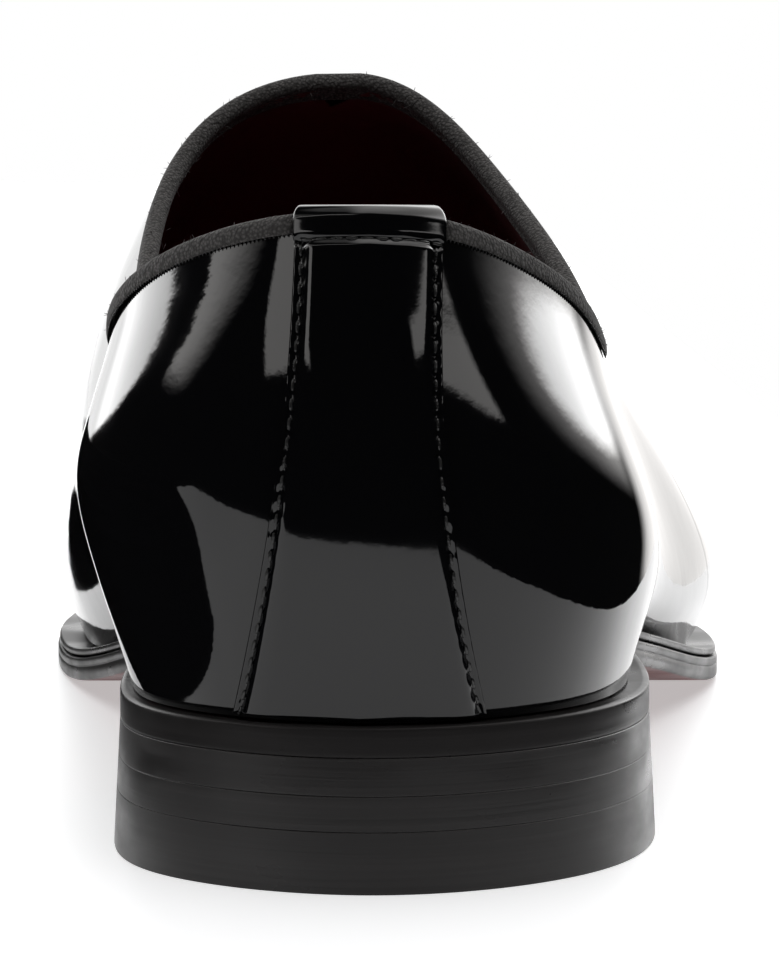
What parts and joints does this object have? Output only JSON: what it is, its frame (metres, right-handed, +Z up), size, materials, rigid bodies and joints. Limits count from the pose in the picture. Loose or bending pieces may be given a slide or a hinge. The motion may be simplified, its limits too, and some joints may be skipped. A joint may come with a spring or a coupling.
{
  "type": "patent leather loafer",
  "caption": "Right-foot slip-on dress loafer in black patent leather, with a back strap folded over a taped collar, thin welt, leather sole and low stacked heel.",
  "frame": {"origin": "on the floor under the middle of the heel, on the underside of the top piece", "axes": "+Y towards the toe, +X towards the outer side of the foot, +Z up from the floor"},
  "size_m": [0.1078, 0.3067, 0.0965],
  "materials": {
    "patent_leather": "mirror-gloss lacquer with a slight ripple",
    "binding_tape": "matt ribbed tape",
    "sock_leather": "soft satin",
    "welt_leather": "waxed satin",
    "sole_leather": "waxed edge, dark red underside",
    "heel_leather": "burnished satin",
    "top_piece_rubber": "satin"
  },
  "bodies": {
    "root": {"upper": "patent_leather", "heel_strap": "patent_leather", "collar_binding": "binding_tape", "insole": "sock_leather", "welt": "welt_leather", "outsole": "sole_leather", "upper_lift": "heel_leather", "lower_lift": "heel_leather", "top_piece": "top_piece_rubber"}
  },
  "joints": []
}
